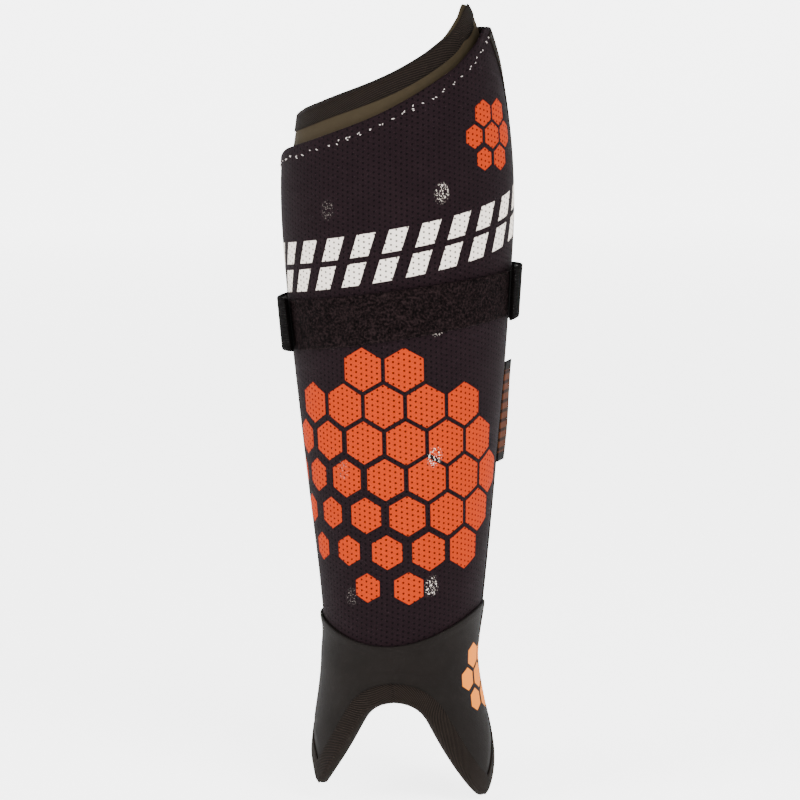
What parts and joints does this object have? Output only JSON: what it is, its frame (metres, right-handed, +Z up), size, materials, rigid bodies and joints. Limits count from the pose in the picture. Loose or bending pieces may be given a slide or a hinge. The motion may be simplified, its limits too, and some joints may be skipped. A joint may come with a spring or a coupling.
{
  "type": "shin guard",
  "caption": "Curved shin guard with a mesh-covered hard shell, raised foam liner, strap with hook tabs and a soft ankle protector with two flexing lobes.",
  "frame": {"origin": "centre of the whole guard's footprint, at the level of the outer lobe's foot", "axes": "+Z up the shin, -Y is the front of the guard, +X the outer side of a left leg"},
  "size_m": [0.1168, 0.1076, 0.3787],
  "materials": {
    "mesh_fabric": "knitted mesh with small staggered holes, printed",
    "shell_plastic": "moulded, fine texture",
    "liner_foam": "closed-cell foam, matte",
    "lining_cloth": "brushed knit",
    "binding_tape": "twill tape",
    "loop_pile": "fuzzy loop pile",
    "hook_tape": "moulded hooks",
    "webbing": "woven elastic webbing",
    "label_weave": "woven satin label",
    "ankle_knit": "smooth stretch knit"
  },
  "bodies": {
    "guard": {"mesh_cover": "mesh_fabric", "hard_shell": "shell_plastic", "foam_liner": "liner_foam", "inner_lining": "lining_cloth", "liner_top_binding": "binding_tape", "side_binding_left": "binding_tape", "side_binding_right": "binding_tape", "front_loop_band": "loop_pile", "hook_patch_left": "hook_tape", "hook_tab_left": "webbing", "side_label": "label_weave", "ankle_cover": "ankle_knit", "ankle_foam": "liner_foam", "ankle_lining": "lining_cloth", "arch_binding": "binding_tape", "ankle_binding_left": "binding_tape", "ankle_binding_right": "binding_tape"},
    "strap": {"calf_strap": "webbing"},
    "outer_tab": {"hook_tab_right": "webbing", "hook_patch_right": "hook_tape"},
    "flap_left": {"ankle_cover_left": "ankle_knit", "ankle_foam_left": "liner_foam", "ankle_lining_left": "lining_cloth", "arch_binding_left": "binding_tape", "heel_binding_left": "binding_tape"},
    "flap_right": {"ankle_cover_right": "ankle_knit", "ankle_foam_right": "liner_foam", "ankle_lining_right": "lining_cloth", "arch_binding_right": "binding_tape", "heel_binding_right": "binding_tape"}
  },
  "joints": [
    {"name": "strap_swing", "type": "hinge", "parent": "guard", "child": "strap", "pos_m": [-0.05143, 0.02113, 0.22774], "axis": [-0.1377, 0, 0.9905], "range_deg": [0, 110]},
    {"name": "tab_peel", "type": "hinge", "parent": "strap", "child": "outer_tab", "pos_m": [0.05124, 0.02136, 0.24201], "axis": [-0.1377, 0, 0.9905], "range_deg": [0, 75]},
    {"name": "flap_left_flex", "type": "hinge", "parent": "guard", "child": "flap_left", "pos_m": [-0.0395, -0.00164, 0.058], "axis": [0, 1, 0], "range_deg": [-10, 25], "stiffness_Nm_per_rad": 0.2},
    {"name": "flap_right_flex", "type": "hinge", "parent": "guard", "child": "flap_right", "pos_m": [0.0383, -0.00164, 0.058], "axis": [0, -1, 0], "range_deg": [-10, 25], "stiffness_Nm_per_rad": 0.2}
  ]
}
